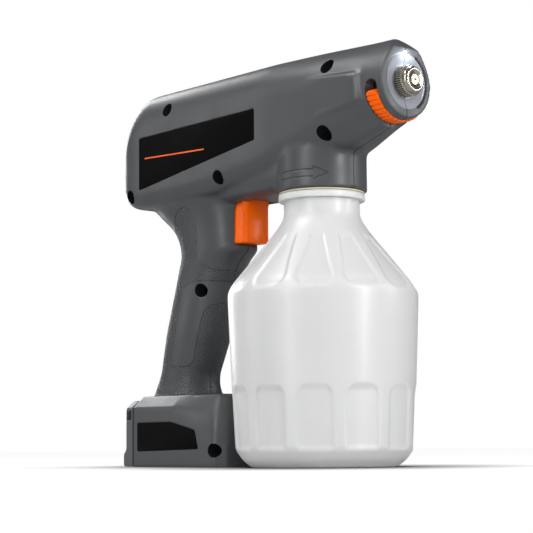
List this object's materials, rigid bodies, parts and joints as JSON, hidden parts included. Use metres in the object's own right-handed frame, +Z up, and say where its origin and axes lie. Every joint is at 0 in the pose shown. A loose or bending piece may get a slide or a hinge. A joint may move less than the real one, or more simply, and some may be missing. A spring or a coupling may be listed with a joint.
{
  "type": "cordless sprayer",
  "caption": "Cordless pistol-grip electrostatic sprayer with a screw-on translucent tank, ribbed flow ring, sliding trigger and slide-out battery base.",
  "frame": {"origin": "centre of the tank's foot, on the surface that the tank and the battery base stand on", "axes": "+X towards the nozzle, +Y to the gun's left, +Z up along the tank's axis"},
  "size_m": [0.2237, 0.1058, 0.2294],
  "materials": {
    "housing_plastic": "moulded glass-filled nylon with a fine spark-eroded grain",
    "grip_rubber": "soft overmoulded grip with a diamond texture",
    "label_film": "satin black plate, bare",
    "trigger_plastic": "orange moulded plastic",
    "ring_plastic": "orange ribbed plastic",
    "sleeve_plastic": "dark moulded plastic",
    "tank_plastic": "blow-moulded natural polyethylene, milky and translucent",
    "seal_rubber": "beige seal",
    "clear_tube": "natural tube and hose",
    "nickel": "nickel-plated brass, knurled",
    "steel": "plain steel",
    "dark_plastic": "black moulded plastic",
    "pump_plastic": "acetal",
    "board_laminate": "green laminate with small parts",
    "red_lead": "silicone-covered lead",
    "cell_wrap": null,
    "contact_brass": "brass contact plates",
    "pack_plastic": "moulded plastic of the pack",
    "lamp_lens": "clear lens"
  },
  "bodies": {
    "housing": {"housing_right": "housing_plastic", "housing_left": "housing_plastic", "grip_right": "grip_rubber", "grip_left": "grip_rubber", "label_right": "label_film", "label_left": "label_film", "base_label_right": "label_film", "base_label_left": "label_film", "housing_screw_1": "steel", "housing_screw_2": "steel", "housing_screw_3": "steel", "housing_screw_4": "steel", "housing_screw_5": "steel", "housing_screw_6": "steel", "housing_screw_7": "steel", "trigger_spring": "steel", "electrode_ring": "steel", "pump_motor": "steel", "tank_socket": "dark_plastic", "high_voltage_module": "dark_plastic", "battery_contacts": "dark_plastic", "pickup_tube": "clear_tube", "pickup_strainer": "clear_tube", "suction_hose": "clear_tube", "pressure_hose": "clear_tube", "trigger_switch": "sleeve_plastic", "pump_head": "pump_plastic", "nozzle_manifold": "pump_plastic", "nozzle_insert": "nickel", "lamp": "lamp_lens", "control_board": "board_laminate", "high_voltage_lead": "red_lead", "lamp_lead": "red_lead", "motor_lead": "red_lead", "switch_lead": "red_lead", "power_lead": "red_lead"},
    "trigger": {"trigger": "trigger_plastic", "switch_plunger": "sleeve_plastic"},
    "flow_ring": {"flow_ring": "ring_plastic", "flow_sleeve": "sleeve_plastic"},
    "nozzle_seal": {"nozzle_oring": "seal_rubber"},
    "nozzle_cap": {"nozzle_cap": "nickel"},
    "tank_gasket": {"tank_gasket": "seal_rubber"},
    "tank": {"tank": "tank_plastic"},
    "battery": {"battery_case": "pack_plastic", "battery_lid": "pack_plastic", "battery_terminals": "contact_brass", "battery_cell_1": "cell_wrap", "battery_cell_2": "cell_wrap", "battery_cell_3": "cell_wrap", "battery_cell_4": "cell_wrap", "latch_spring_right": "steel", "latch_spring_left": "steel"},
    "battery_latch_right": {"battery_latch_right": "sleeve_plastic"},
    "battery_latch_left": {"battery_latch_left": "sleeve_plastic"}
  },
  "joints": [
    {"name": "trigger_pull", "type": "slide", "parent": "housing", "child": "trigger", "axis": [-1, 0, 0], "range_m": [0, 0.006], "stiffness_N_per_m": 600, "springref_m": -0.004, "deforming": ["trigger_spring"]},
    {"name": "flow_turn", "type": "hinge", "parent": "housing", "child": "flow_ring", "pos_m": [0.058, 0, 0.205], "axis": [1, 0, 0], "range_deg": [-16, 16]},
    {"name": "cap_lift", "type": "slide", "parent": "housing", "child": "nozzle_seal", "axis": [1, 0, 0], "range_m": [0, 0.001]},
    {"name": "cap_turn", "type": "hinge", "parent": "nozzle_seal", "child": "nozzle_cap", "pos_m": [0.068, 0, 0.205], "axis": [1, 0, 0], "range_deg": [0, 360]},
    {"name": "tank_lift", "type": "slide", "parent": "housing", "child": "tank_gasket", "axis": [0, 0, -1], "range_m": [0, 0.00562]},
    {"name": "tank_turn", "type": "hinge", "parent": "tank_gasket", "child": "tank", "pos_m": [0, 0, 0.16], "axis": [0, 0, -1], "range_deg": [0, 450]},
    {"name": "battery_slide", "type": "slide", "parent": "housing", "child": "battery", "axis": [-1, 0, 0], "range_m": [0, 0.075]},
    {"name": "latch_right_press", "type": "slide", "parent": "battery", "child": "battery_latch_right", "axis": [0, 1, 0], "range_m": [0, 0.0015], "stiffness_N_per_m": 400, "springref_m": -0.003, "deforming": ["latch_spring_right"]},
    {"name": "latch_left_press", "type": "slide", "parent": "battery", "child": "battery_latch_left", "axis": [0, -1, 0], "range_m": [0, 0.0015], "stiffness_N_per_m": 400, "springref_m": -0.003, "deforming": ["latch_spring_left"]}
  ],
  "couplings": [
    {"joint": "cap_turn", "follows": "cap_lift", "rad_per_m": 6283.2},
    {"joint": "tank_turn", "follows": "tank_lift", "rad_per_m": 1396.3}
  ]
}
